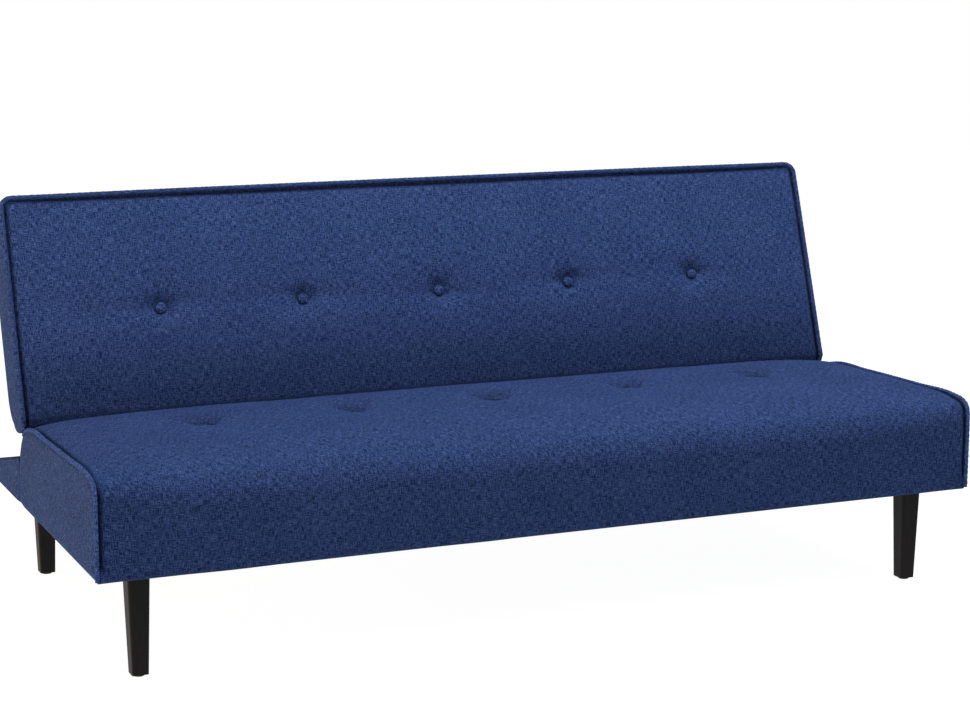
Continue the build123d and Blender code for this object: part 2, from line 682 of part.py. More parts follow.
def main():
    """Makes every node and writes it to parts."""
    os.makedirs("parts", exist_ok=True)

    save("seat_cover", seat_cover())
    save("seat_foam", seat_foam())
    save("spring_pad", spring_pad())
    save("base_rear_cover", base_rear_cover())
    save("dust_cover", dust_cover())
    on_seat = [Pos(x, SEAT_TUFT_Y, SEAT_TUFT_FLOOR) for x in TUFTS_X]
    save("seat_buttons", *[place * button() for place in on_seat])
    save("seat_button_twine", *[place * twine(SEAT_TUFT_FLOOR - DECK_Z + PAD + 2) for place in on_seat])

    save("frame_wadding", *frame_wadding())
    save("front_rail", front_rail())
    save("seat_rear_rail", seat_rear_rail())
    save("base_rear_rail", base_rear_rail())
    save("cross_rails", *cross_rails())
    save("seat_springs", *[seat_spring(x) for x in SPRINGS_X])
    save("spring_clips", *spring_clips())
    save("leg_corner_blocks", *[corner_block(x, y) for x, y in LEGS.values()])
    save("leg_t_nuts", *[t_nut(x, y) for x, y in LEGS.values()])
    save("hanger_bolts", *[hanger_bolt(x, y) for x, y in LEGS.values()])
    save("foot_glides", *[glide(x, y) for x, y in LEGS.values()])
    for corner, (x, y) in LEGS.items():
        save(f"leg_{corner}", leg(x, y))

    bottom, top = back_rails()
    save("back_cover", back_cover())
    save("back_foam", back_foam())
    save("back_welt", back_welt())
    save("back_bottom_rail", bottom)
    save("back_top_rail", top)
    save("back_mid_stiles", *back_mid_stiles())
    save("back_webbing", *back_webbing())
    save("back_panel_board", back_panel_board())
    on_face = [on_back(x, BACK_TUFT_UP, BACK_TUFT_FLOOR) for x in TUFTS_X]
    save("back_buttons", *[place * button() for place in on_face])
    save("back_button_twine", *[place * twine(BACK_RAIL_FRONT - BACK_TUFT_FLOOR + 2) for place in on_face])

    for side, end in ((-1, "left"), (1, "right")):
        save(f"side_rail_{end}", side_rail(side))
        save(f"seat_welt_{end}", seat_welt(side))
        save(f"back_stile_{end}", back_stile(side))
        save(f"hinge_outer_plate_{end}", outer_plate(side))
        save(f"hinge_inner_plate_{end}", inner_plate(side))
        save(f"hinge_arm_{end}", hinge_arm(side))
        save(f"pawl_{end}", pawl(side))
    save("hinge_pivot_pins", *both(pivot_pin))
    save("pawl_pins", *both(pawl_pin))
    save("pawl_springs", *both(pawl_spring))
    save("hinge_washers", *sum(both(pivot_washers), []))
    save("hinge_spacer_rivets", *sum(both(spacer_rivets), []))
    save("hinge_plate_screws", *sum(both(plate_screws), []))
    save("hinge_arm_screws", *sum(both(arm_screws), []))


main()
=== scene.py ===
"""Looks of the click-clack futon sofa bed: upholstery, piping, buttons, studio and camera, in metres."""
import json
from math import cos, pi, radians, sin

import bpy
import numpy as np
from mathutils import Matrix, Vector, noise


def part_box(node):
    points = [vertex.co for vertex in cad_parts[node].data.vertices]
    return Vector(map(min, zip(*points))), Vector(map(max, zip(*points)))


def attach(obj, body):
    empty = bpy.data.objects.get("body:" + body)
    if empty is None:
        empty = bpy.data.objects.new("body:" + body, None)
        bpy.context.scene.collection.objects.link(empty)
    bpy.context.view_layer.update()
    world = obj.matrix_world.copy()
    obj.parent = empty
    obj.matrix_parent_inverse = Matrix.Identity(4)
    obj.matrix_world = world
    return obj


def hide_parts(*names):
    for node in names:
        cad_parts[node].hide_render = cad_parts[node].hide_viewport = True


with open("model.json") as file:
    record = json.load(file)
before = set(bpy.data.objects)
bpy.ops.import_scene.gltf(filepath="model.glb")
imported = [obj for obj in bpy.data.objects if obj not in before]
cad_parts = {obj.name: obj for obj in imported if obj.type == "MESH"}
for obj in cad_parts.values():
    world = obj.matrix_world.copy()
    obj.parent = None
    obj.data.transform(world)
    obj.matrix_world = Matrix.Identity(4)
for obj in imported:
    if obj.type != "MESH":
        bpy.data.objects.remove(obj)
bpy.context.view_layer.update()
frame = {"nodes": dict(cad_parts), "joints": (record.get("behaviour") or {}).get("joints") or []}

# Measures read from the frame
recline = next(j for j in frame["joints"] if j["name"] == "backrest_recline")
TILT = radians(90 - recline["range_deg"][1])
SEAT_LOW, SEAT_HIGH = (np.array(c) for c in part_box("seat_cover"))
BASE_LOW, BASE_HIGH = (np.array(c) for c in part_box("base_rear_cover"))
BUTTON_LOW = np.array(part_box("seat_buttons")[0])
HALF = SEAT_HIGH[0]
FRONT = SEAT_LOW[1]
UNDER = SEAT_LOW[2]

# Places that the CAD part is also built from.
# The back's own places count from its foot: behind its front face, and up along it.
BACK_FOOT = np.array([0, 0.133, 0.371])
BACK_LENGTH = 0.452
BACK_THICK = 0.114
BACK_LOW = -0.007
TUFTS_X = (-0.6, -0.3, 0.0, 0.3, 0.6)
TUFT_Y = -0.104
TUFT_UP = 0.213
# The covered base's top slopes from one height, behind the seat, to the other, at its rear.
WEDGE_FRONT, WEDGE_REAR = 0.292, 0.246
# Each hinge comes up through the seat's rear edge between these places along X.
HINGE_SLOT = (0.839, 0.867)
SLOT_FLOOR, SLOT_FRONT = 0.272, 0.158
WELT_R = 0.0055
SEAM_X = HALF - WELT_R

# Spacing of the upholstery's mesh along X, and how near the ends it is finer
MESH_STEP, MESH_FINE, MESH_EDGE = 0.0075, 0.0025, 0.06
FOAM_STEP, FOAM_FINE, FOAM_EDGE = 0.04, 0.01, 0.05
# Upholstery bulges this far at its end panels
SEAT_END_BULGE, BACK_END_BULGE = 0.004, 0.006
# Rings of faces that close each end panel
PANEL_RINGS, FOAM_RINGS = 22, 4
TUBE_SIDES = 14


# Shape helpers

def smooth(t):
    """An eased step from 0 at t = 0 to 1 at t = 1."""
    t = np.clip(t, 0, 1)
    return t * t * (3 - 2 * t)


def spline(points, count):
    """Points evenly spaced along a smooth curve through the given ones."""
    p = np.array(points, float)
    step = np.linalg.norm(np.diff(p, axis=0), axis=1)[:, None]
    slope = np.diff(p, axis=0) / step
    inner = (slope[:-1] * step[1:] + slope[1:] * step[:-1]) / (step[1:] + step[:-1])
    tangent = np.vstack([slope[:1], inner, slope[-1:]])
    t = np.linspace(0, 1, 24, endpoint=False)[None, :, None]
    start, end = p[:-1, None], p[1:, None]
    leave, arrive = (tangent[:-1] * step)[:, None], (tangent[1:] * step)[:, None]
    dense = (start * (1 + 2 * t) * (1 - t) ** 2 + leave * t * (1 - t) ** 2
             + end * t ** 2 * (3 - 2 * t) - arrive * t ** 2 * (1 - t))
    dense = np.vstack([dense.reshape(-1, p.shape[1]), p[-1:]])
    run = np.concatenate([[0], np.cumsum(np.linalg.norm(np.diff(dense, axis=0), axis=1))])
    even = np.linspace(0, run[-1], count)
    return np.stack([np.interp(even, run, dense[:, k]) for k in range(dense.shape[1])], 1)


def sections(stretches, counts):
    """One closed section from stretches that each run on from the last, with fixed counts."""
    parts = [spline(s, n)[:-1] for s, n in zip(stretches, counts)]
    return np.vstack(parts)


def swell(x, reach=0.075):
    """0 at the two ends of the sofa and 1 along its middle."""
    return 1 - np.exp(-np.clip(SEAM_X - np.abs(x), 0, None) / reach)


def ripple(points, size, seed):
    """Smooth noise from -1 to 1 at each point."""
    shift = Vector((seed * 7.3, seed * 3.1, seed * 5.7))
    return np.array([noise.noise(Vector(p) / size + shift) for p in points])


def mesh_object(name, verts, faces, uvs=None):
    """A smooth-shaded object in the scene, with one texture coordinate per vertex where uvs is given."""
    mesh = bpy.data.meshes.new(name)
    mesh.from_pydata([tuple(v) for v in verts], [], [tuple(f) for f in faces])
    if uvs is not None:
        layer = mesh.uv_layers.new(name="weave")
        index = np.empty(len(mesh.loops), int)
        mesh.loops.foreach_get("vertex_index", index)
        layer.data.foreach_set("uv", np.asarray(uvs)[index].astype(np.float32).ravel())
    mesh.polygons.foreach_set("use_smooth", [True] * len(mesh.polygons))
    mesh.update()
    obj = bpy.data.objects.new(name, mesh)
    bpy.context.scene.collection.objects.link(obj)
    return obj


def x_samples(half, step, fine, edge):
    """Places along X, closer together within edge of each end."""
    inner = np.arange(0, half - edge, step)
    outer = np.arange(half - edge, half + 1e-9, fine)
    right = np.concatenate([inner, outer])
    return np.concatenate([-right[:0:-1], right])


def padded_loft(name, xs, rings, bulge, cap_rings=PANEL_RINGS, panel_x=HALF - 0.001):
    """A closed form from a ring of points at each x, with bulging end panels.

    rings is (len(xs), count, 2) of (y, z). The end panels lie at panel_x, and stand out by
    bulge in their middle. Their own rings crowd towards the rim and shrink almost to a point.
    """
    crowding, shrink, uv_shift = 1.7, 0.96, 3.0
    n_x, n_v = rings.shape[:2]
    verts = [np.column_stack([np.full(n_v, x), ring]) for x, ring in zip(xs, rings)]
    run = np.concatenate([[0], np.cumsum(np.linalg.norm(np.diff(rings[n_x // 2], axis=0), axis=1))])
    uvs = [np.column_stack([np.full(n_v, x), run]) for x in xs]
    faces = []
    for i in range(n_x - 1):
        a, b = i * n_v, (i + 1) * n_v
        faces += [(a + j, b + j, b + (j + 1) % n_v, a + (j + 1) % n_v) for j in range(n_v)]
    total = n_x * n_v
    for end in (0, n_x - 1):
        side = -1 if end == 0 else 1
        rim = rings[end]
        middle = rim.mean(0)
        last = end * n_v
        for k in range(1, cap_rings + 1):
            t = (k / cap_rings) ** crowding
            ring = rim + (middle - rim) * t * shrink
            out = side * (panel_x - abs(xs[end])) * smooth(t * 9) + side * bulge * np.sin(t * pi / 2)
            verts.append(np.column_stack([np.full(n_v, xs[end]) + out, ring]))
            uvs.append(ring + uv_shift)
            start = total
            total += n_v
            for j in range(n_v):
                quad = (last + j, last + (j + 1) % n_v, start + (j + 1) % n_v, start + j)
                faces.append(quad if side > 0 else quad[::-1])
            last = start
        hub = tuple(range(last, last + n_v))
        faces.append(hub if side > 0 else hub[::-1])
    return mesh_object(name, np.vstack(verts), faces, np.vstack(uvs))


def mesh_points(obj):
    """The places of an object's vertices, one row each."""
    co = np.empty(len(obj.data.vertices) * 3)
    obj.data.vertices.foreach_get("co", co)
    return co.reshape(-1, 3)


def set_points(obj, co):
    """Moves an object's vertices to the places in co."""
    obj.data.vertices.foreach_set("co", np.ascontiguousarray(co).ravel())
    obj.data.update()


def normals(obj):
    """The outward direction at each vertex."""
    out = np.empty(len(obj.data.vertices) * 3)
    obj.data.vertex_normals.foreach_get("vector", out)
    return out.reshape(-1, 3)


def panel_edge(x):
    """1 at the rim of the two end panels, fading out within a few millimetres."""
    out = np.abs(x) - SEAM_X
    return np.where(out > 0.0001, np.exp(-np.clip(out, 0, None) / 0.0012), 0)


# Painted shade: how much darker, out of 1, the cloth's colour is painted in the seam grooves, at the end
# panels' rims, in the tufts, on the seat's front and at the back's foot
GROOVE_SHADE, RIM_SHADE = 0.9, 0.8
SEAT_TUFT_SHADE, BACK_TUFT_SHADE = 0.60, 0.40
SEAT_FRONT_SHADE, BACK_FOOT_SHADE = 0.22, 0.42


def mark_painted_shade(obj, depth):
    """Stores how much painted shade darkens the cloth's colour at each vertex, from 0 to 1."""
    layer = obj.data.attributes.new("painted_shade", "FLOAT", "POINT")
    layer.data.foreach_set("value", np.clip(depth, 0, 1).astype(np.float32))


def tuft_pull(dx, dy, depth, reach, seed):
    """How far the fabric is drawn in round one button, with pleats running out from it."""
    rim, pleat_depth, pleat_middle, pleat_width = 0.008, 0.0011, 0.03, 0.022
    d = np.hypot(dx, dy)
    well = depth * np.exp(-np.clip(d - rim, 0, None) / reach)
    angle = np.arctan2(dy, dx)
    pleats = np.cos(5 * angle + seed * 2.1) + 0.6 * np.cos(8 * angle + seed * 4.7)
    return well + pleat_depth * pleats * np.exp(-((d - pleat_middle) / pleat_width) ** 2)


def tuft_row(dx, dy, reach, seed):
    """The faint crease that runs from button to button."""
    wave = 0.008 * np.sin(dx * 9 + seed)
    return np.exp(-((dy - wave) / 0.012) ** 2) * np.exp(-(dx / reach) ** 2)


def tube(name, path, radius, gather):
    """A closed tube along a path of points. gather(run, angle) scales its radius along it and round it."""
    path = np.array(path, float)
    tangent = np.gradient(path, axis=0)
    tangent /= np.linalg.norm(tangent, axis=1)[:, None]
    side = np.cross(tangent[0], [0.3, 0.5, 0.8])
    verts, faces, uvs, run = [], [], [], 0.0
    for i, (p, t) in enumerate(zip(path, tangent)):
        side = side - t * (side @ t)
        side /= np.linalg.norm(side)
        other = np.cross(t, side)
        run += np.linalg.norm(p - path[i - 1]) if i else 0
        for k in range(TUBE_SIDES):
            angle = 2 * pi * k / TUBE_SIDES
            r = radius * gather(run, angle)
            verts.append(p + r * (cos(angle) * side + sin(angle) * other))
            uvs.append((run, radius * angle))
    for i in range(len(path) - 1):
        for k in range(TUBE_SIDES):
            a, b = i * TUBE_SIDES + k, i * TUBE_SIDES + (k + 1) % TUBE_SIDES
            faces.append((a, b, b + TUBE_SIDES, a + TUBE_SIDES))
    faces.append(tuple(range(TUBE_SIDES))[::-1])
    faces.append(tuple(range((len(path) - 1) * TUBE_SIDES, len(path) * TUBE_SIDES)))
    return mesh_object(name, verts, faces, uvs)


# Materials

def new_material(name):
    """A material with its nodes, its links and its surface shader."""
    material = bpy.data.materials.new(name)
    material.use_nodes = True
    nodes, links = material.node_tree.nodes, material.node_tree.links
    return material, nodes, links, nodes["Principled BSDF"]


def add(nodes, kind, **values):
    """A new node, with each value set on the input of that name, or else on the node itself."""
    node = nodes.new(kind)
    for key, value in values.items():
        if key in node.inputs:
            node.inputs[key].default_value = value
        else:
            setattr(node, key, value)
    return node


def math_node(nodes, links, operation, a, b=None):
    """The result of an operation on two sockets or numbers."""
    node = nodes.new("ShaderNodeMath")
    node.operation = operation
    for socket, value in zip(node.inputs, (a, b)):
        if hasattr(value, "is_output"):
            links.new(value, socket)
        elif value is not None:
            socket.default_value = value
    return node.outputs[0]


def ramp(nodes, links, source, *stops):
    """A colour from a value, blended between stops of (place, colour)."""
    node = nodes.new("ShaderNodeValToRGB")
    elements = node.color_ramp.elements
    while len(elements) < len(stops):
        elements.new(0.5)
    for element, (place, colour) in zip(elements, stops):
        element.position = place
        element.color = (*colour, 1)
    links.new(source, node.inputs[0])
    return node.outputs[0]


# The weave: how finely its noise changes through the cloth, how far large clouds shift its tone, the noise
# at which its three tones are reached, how far painted shade dims its colour, and how close its threads lie.
YARN_DEPTH = 300
CLOUD = 0.03
DARK_BELOW, BASE_AT, LIGHT_ABOVE = 0.450, 0.502, 0.560
PAINTED_SHADE_DIMMING = 0.85
THREAD_SCALE = 190.0


def fabric(name, colours, coord="UV", sheen=0.0, slub=1.0):
    """Melange plain weave: dark and light slub yarns crossing, with a raised thread texture.

    colours are its dark, base and light tones. slub scales how many yarns there are per metre.
    """
    material, nodes, links, shader = new_material(name)
    where = nodes.new("ShaderNodeTexCoord").outputs[coord]

    def yarns(along, across):
        """Noise with this many grains per metre in the two directions of the cloth."""
        stretch = add(nodes, "ShaderNodeMapping")
        links.new(where, stretch.inputs["Vector"])
        stretch.inputs["Scale"].default_value = (along, across, YARN_DEPTH)
        grain = add(nodes, "ShaderNodeTexNoise", Scale=1.0, Detail=2.0, Roughness=0.6)
        links.new(stretch.outputs[0], grain.inputs["Vector"])
        return grain.outputs[0]

    weft = yarns(85 * slub, 800 * slub)
    warp = yarns(820 * slub, 75 * slub)
    speck = yarns(860 * slub, 880 * slub)
    mixed = math_node(nodes, links, "ADD", weft, warp)
    mixed = math_node(nodes, links, "ADD", mixed, speck)
    mixed = math_node(nodes, links, "MULTIPLY", mixed, 1 / 3)
    cloud = add(nodes, "ShaderNodeTexNoise", Scale=9.0, Detail=3.0)
    links.new(where, cloud.inputs["Vector"])
    lift = math_node(nodes, links, "SUBTRACT", cloud.outputs[0], 0.5)
    lift = math_node(nodes, links, "MULTIPLY", lift, CLOUD)
    mixed = math_node(nodes, links, "ADD", mixed, lift)
    dark, base, light = colours
    colour = ramp(nodes, links, mixed, (DARK_BELOW, dark), (BASE_AT, base), (LIGHT_ABOVE, light))
    # Painted shade: the colour is dimmed by the painted shade amount stored on each vertex.
    painted_shade = add(nodes, "ShaderNodeAttribute", attribute_name="painted_shade").outputs["Fac"]
    shade = math_node(nodes, links, "MULTIPLY", painted_shade, -PAINTED_SHADE_DIMMING)
    shade = math_node(nodes, links, "ADD", shade, 1.0)
    dim = nodes.new("ShaderNodeVectorMath")
    dim.operation = "SCALE"
    links.new(colour, dim.inputs[0])
    links.new(shade, dim.inputs["Scale"])
    links.new(dim.outputs[0], shader.inputs["Base Color"])

    def threads(axis):
        """Raised threads, side by side along one axis."""
        wave = add(nodes, "ShaderNodeTexWave", Scale=THREAD_SCALE, Distortion=1.2, Detail=1.0)
        wave.bands_direction = axis
        wave.inputs["Detail Scale"].default_value = 2.0
        links.new(where, wave.inputs["Vector"])
        return wave.outputs["Fac"]

    weave = math_node(nodes, links, "MAXIMUM", threads("X"), threads("Y"))
    height = math_node(nodes, links, "MULTIPLY", mixed, 1.4)
    height = math_node(nodes, links, "ADD", height, weave)
    bump = add(nodes, "ShaderNodeBump", Strength=0.3, Distance=0.0005)
    links.new(height, bump.inputs["Height"])
    links.new(bump.outputs[0], shader.inputs["Normal"])
    rough = add(nodes, "ShaderNodeMapRange")
    rough.inputs["To Min"].default_value = 0.96
    rough.inputs["To Max"].default_value = 0.82
    links.new(mixed, rough.inputs["Value"])
    links.new(rough.outputs[0], shader.inputs["Roughness"])
    shader.inputs["Sheen Weight"].default_value = sheen
    shader.inputs["Sheen Roughness"].default_value = 0.45
    shader.inputs["Sheen Tint"].default_value = (0.8, 0.85, 1.0, 1)
    shader.inputs["Specular IOR Level"].default_value = 0.04
    return material


def grained(name, colour, roughness, stretch, contrast=0.25, metallic=0.0, bump=0.0004, scale=18.0,
            specular=0.5):
    """Wood, metal, foam or plastic, with a grain or brushing that stretch draws out along an axis."""
    material, nodes, links, shader = new_material(name)
    where = nodes.new("ShaderNodeTexCoord").outputs["Object"]
    mapping = add(nodes, "ShaderNodeMapping")
    mapping.inputs["Scale"].default_value = stretch
    links.new(where, mapping.inputs["Vector"])
    grain = add(nodes, "ShaderNodeTexNoise", Scale=scale, Detail=6.0, Roughness=0.6)
    links.new(mapping.outputs[0], grain.inputs["Vector"])
    low = tuple(c * (1 - contrast) for c in colour)
    high = tuple(min(1, c * (1 + contrast)) for c in colour)
    links.new(ramp(nodes, links, grain.outputs[0], (0.3, low), (0.7, high)), shader.inputs["Base Color"])
    rough = add(nodes, "ShaderNodeMapRange")
    rough.inputs["To Min"].default_value = roughness * 0.85
    rough.inputs["To Max"].default_value = min(1, roughness * 1.15)
    links.new(grain.outputs[0], rough.inputs["Value"])
    links.new(rough.outputs[0], shader.inputs["Roughness"])
    height = add(nodes, "ShaderNodeBump", Strength=0.3, Distance=bump)
    links.new(grain.outputs[0], height.inputs["Height"])
    links.new(height.outputs[0], shader.inputs["Normal"])
    shader.inputs["Metallic"].default_value = metallic
    shader.inputs["Specular IOR Level"].default_value = specular
    return material


def toned(colours, factor):
    """The same tones, lighter or darker."""
    return tuple(tuple(c * factor for c in tone) for tone in colours)


NAVY = ((0.0045, 0.0105, 0.042), (0.0142, 0.0290, 0.0955), (0.046, 0.081, 0.215))
UPHOLSTERY = fabric("navy_melange", NAVY)
BUTTON_CLOTH = fabric("navy_melange_button", NAVY, coord="Object")
PIPING = fabric("navy_melange_piping", NAVY)
# Painted shade: the seat buttons' cloth is a darker copy of the navy, for the shade in their tufts.
BUTTON_CLOTH_PAINTED_SHADE = fabric("navy_melange_button_painted_shade", toned(NAVY, 0.6), coord="Object")
# Painted highlight: the seat's piping is a lighter copy of the navy, for the highlight along it.
SEAT_PIPING_PAINTED_HIGHLIGHT = fabric("navy_melange_seat_piping_painted_highlight", toned(NAVY, 1.35))
LINING = fabric("black_lining", ((0.008,) * 3, (0.014,) * 3, (0.024,) * 3), coord="Object", sheen=0.1)
FELT = fabric("grey_felt", ((0.10,) * 3, (0.17,) * 3, (0.28,) * 3), coord="Object", sheen=0.2, slub=0.5)
WADDING = grained("white_wadding", (0.72, 0.72, 0.70), 0.95, (1, 1, 1), contrast=0.1, bump=0.0015,
                  scale=150)
TWINE = fabric("twine", ((0.25, 0.22, 0.15), (0.42, 0.38, 0.28), (0.6, 0.55, 0.42)), coord="Object")
WEBBING = fabric("webbing", ((0.01,) * 3, (0.02,) * 3, (0.05,) * 3), coord="Object", sheen=0.1)
FOAM = grained("foam", (0.78, 0.70, 0.45), 0.95, (1, 1, 1), contrast=0.12, bump=0.001, scale=400)
PINE = grained("pine", (0.50, 0.32, 0.15), 0.7, (1, 18, 18), contrast=0.3)
BOARD = grained("panel_board", (0.22, 0.13, 0.07), 0.85, (1, 1, 1), contrast=0.2, scale=120)
LEG_LACQUER = grained("black_lacquered_wood", (0.0075, 0.0065, 0.0070), 0.5, (30, 30, 2), contrast=0.35,
                      bump=0.0003, specular=0.1)
STEEL = grained("plated_steel", (0.55, 0.54, 0.52), 0.35, (2, 40, 40), contrast=0.12, metallic=1.0,
                bump=0.0001)
WIRE = grained("spring_steel", (0.22, 0.22, 0.23), 0.4, (40, 40, 2), contrast=0.2, metallic=1.0,
               bump=0.0001)
PAINTED = grained("black_painted_steel", (0.02, 0.02, 0.022), 0.45, (1, 1, 1), contrast=0.25,
                  bump=0.0002, scale=200)
GLIDE = grained("black_nylon", (0.015, 0.015, 0.015), 0.5, (1, 1, 1), contrast=0.2, scale=90)
NYLON = grained("white_nylon", (0.75, 0.74, 0.70), 0.45, (1, 1, 1), contrast=0.06, scale=90)

CAD_LOOKS = (
    (PINE, ["front_rail", "seat_rear_rail", "base_rear_rail", "cross_rails", "side_rail_left",
            "side_rail_right", "leg_corner_blocks", "back_bottom_rail", "back_top_rail",
            "back_mid_stiles", "back_stile_left", "back_stile_right"]),
    (BOARD, ["back_panel_board"]),
    (LEG_LACQUER, ["leg_front_left", "leg_front_right", "leg_rear_left", "leg_rear_right"]),
    (STEEL, ["spring_clips", "leg_t_nuts", "hanger_bolts", "pawl_left", "pawl_right",
             "hinge_pivot_pins", "pawl_pins", "hinge_spacer_rivets", "hinge_plate_screws",
             "hinge_arm_screws"]),
    (WIRE, ["seat_springs", "pawl_springs"]),
    (PAINTED, ["hinge_outer_plate_left", "hinge_outer_plate_right", "hinge_inner_plate_left",
               "hinge_inner_plate_right", "hinge_arm_left", "hinge_arm_right"]),
    (GLIDE, ["foot_glides"]),
    (NYLON, ["hinge_washers"]),
    (TWINE, ["seat_button_twine", "back_button_twine"]),
    (WEBBING, ["back_webbing"]),
    (FELT, ["spring_pad"]),
    (WADDING, ["frame_wadding"]),
    (LINING, ["dust_cover"]),
)


def dress_cad():
    """Gives every CAD node that stays in view its own material."""
    for material, nodes in CAD_LOOKS:
        for node in nodes:
            obj = frame["nodes"][node]
            obj.data.materials.clear()
            obj.data.materials.append(material)


def place(obj, material, body, slot, *nodes):
    """Finishes a piece: its material, the body it rides on, and the CAD nodes it stands for."""
    obj.data.materials.append(material)
    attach(obj, body)
    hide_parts(*nodes)


# Seat

# Points on each stretch of a section: underside, front hem, front, top, rear edge, rear, rear hem
SEAT_COUNTS = (26, 10, 22, 60, 34, 12, 10)
SEAT_TUFT_DEPTH, SEAT_TUFT_REACH = 0.0155, 0.030
# How deep the crease from button to button, the trough along them, the seam grooves and the puckers are
SEAT_CREASE, SEAT_TROUGH, SEAT_GROOVE, SEAT_PUCKER = 0.0028, 0.003, 0.0045, 0.0011
SEAT_PUCKER_SPACING = 0.013
# The seat's foam lies on the springs at this height, and its cover is this thick with its padding.
SPRING_DECK = 0.2885
SEAT_PADDING = 0.0225


def seat_rings(xs):
    """Sections along the seat: taut at the ends and crowned along the middle."""
    under, wall = UNDER - 0.0015, 0.024
    underside = [(-0.15, under), (FRONT + wall, under)]
    rear = [(0.2057, 0.268), (0.2059, 0.24), (0.2057, under + 0.004)]
    rear_hem = [(0.2057, under + 0.004), (0.2045, under + 0.001), (0.200, under), (0.19, under),
                (-0.15, under)]
    end = sections([
        underside,
        [(FRONT + wall, under), (FRONT + 0.003, under + 0.0005), (FRONT, under + 0.0045)],
        [(FRONT, under + 0.0045), (FRONT, 0.28), (FRONT, 0.335), (FRONT + 0.0008, 0.352)],
        [(FRONT + 0.0008, 0.352), (FRONT + 0.005, 0.3655), (FRONT + 0.018, 0.3765), (FRONT + 0.05, 0.3825),
         (-0.25, 0.3815), (-0.05, 0.377), (0.07, 0.3735)],
        [(0.07, 0.3735), (0.112, 0.3665), (0.14, 0.356), (0.167, 0.335), (0.190, 0.303), (0.2057, 0.268)],
        rear,
        rear_hem,
    ], SEAT_COUNTS)
    middle = sections([
        underside,
        [(FRONT + wall, under), (FRONT + 0.004, under), (FRONT - 0.002, under + 0.009)],
        [(FRONT - 0.002, under + 0.009), (FRONT - 0.006, 0.26), (FRONT - 0.005, 0.325)],
        [(FRONT - 0.005, 0.325), (FRONT, 0.344), (FRONT + 0.014, 0.3605), (FRONT + 0.042, 0.3775),
         (-0.33, 0.3955), (-0.22, 0.4065), (-0.09, 0.408), (0.02, 0.401), (0.075, 0.3925)],
        [(0.075, 0.3925), (0.103, 0.385), (0.1175, 0.372), (0.133, 0.354), (0.164, 0.333), (0.2057, 0.268)],
        rear,
        rear_hem,
    ], SEAT_COUNTS)
    full = swell(xs)[:, None, None]
    return end[None] + full * (middle - end)[None]


def hinge_pockets(co, front, soft):
    """Draws the seat's rear edge in round the hinges, as far forward as front."""
    x, y, z = np.abs(co[:, 0]), co[:, 1], co[:, 2]
    wide = smooth((x - HINGE_SLOT[0]) / soft + 1) * smooth((HINGE_SLOT[1] - x) / soft + 1)
    high = smooth((z - SLOT_FLOOR) / 0.004 + 1)
    co[:, 1] -= wide * high * np.clip(y - front, 0, None)


def shape_seat(obj):
    """Tufts, creases, seam grooves and puckers on the seat, and the painted shade stored for its cloth."""
    co, out = mesh_points(obj), normals(obj)
    x, y, z = co.T
    top = smooth((out[:, 2] - 0.2) / 0.5) * smooth((z - 0.34) / 0.02)
    drop, painted_tuft_shade = np.zeros(len(co)), np.zeros(len(co))
    for i, tuft_x in enumerate(TUFTS_X):
        drop += tuft_pull(x - tuft_x, y - TUFT_Y, SEAT_TUFT_DEPTH, SEAT_TUFT_REACH, i)
        # Painted shade: a dark crescent behind each button, where the tuft's far wall would lie in shadow.
        behind = y - TUFT_Y + 0.010 - 14 * (x - tuft_x) ** 2
        painted_tuft_shade += np.exp(-((x - tuft_x) / 0.036) ** 2 - (behind / 0.055) ** 2) * smooth(behind / 0.010)
        drop += SEAT_CREASE * tuft_row(x - tuft_x, y - TUFT_Y, 0.11, i * 1.7)
    drop += SEAT_TROUGH * np.exp(-((y - TUFT_Y) / 0.05) ** 2) * swell(x)
    co[:, 2] -= drop * top
    wide = ripple(co, 0.16, 1) * 0.0016 + ripple(co, 0.05, 2) * 0.0006
    held = swell(x, 0.03)
    co += out * (wide * held * smooth((z - UNDER - 0.004) / 0.02))[:, None]
    # Faces turned forward: their hem ripples, and painted shade darkens the seat's front face.
    front = smooth((-0.3 - out[:, 1]) / 0.5)
    hem = np.exp(-(z - UNDER) / 0.02)
    co[:, 2] += front * hem * (0.0013 * np.sin(x * 14 + 1) + 0.0012 * ripple(co, 0.09, 3))
    edge = np.abs(np.abs(x) - SEAM_X)
    on_face = np.abs(out[:, 0]) < 0.6
    pucker = np.sin(z * 2 * pi / SEAT_PUCKER_SPACING + 3 * ripple(co, 0.05, 4)) * np.exp(-edge / 0.012)
    low = smooth((0.37 - z) / 0.03)
    co[:, 1] += np.where(on_face & (out[:, 1] < -0.5), SEAT_PUCKER * pucker * low, 0)
    groove = np.exp(-((edge - 0.004) / 0.0045) ** 2) * on_face * smooth((z - UNDER - 0.01) / 0.02)
    co -= out * (SEAT_GROOVE * groove)[:, None]
    hinge_pockets(co, SLOT_FRONT, 0.004)
    set_points(obj, co)
    # Painted shade for the cloth: in the seam grooves, at the panels' rims, in the tufts and on the front
    # face.
    painted_seam_shade = GROOVE_SHADE * groove + RIM_SHADE * panel_edge(x) * smooth((z - UNDER - 0.01) / 0.02)
    mark_painted_shade(obj, painted_seam_shade + SEAT_TUFT_SHADE * painted_tuft_shade * top + SEAT_FRONT_SHADE * front)


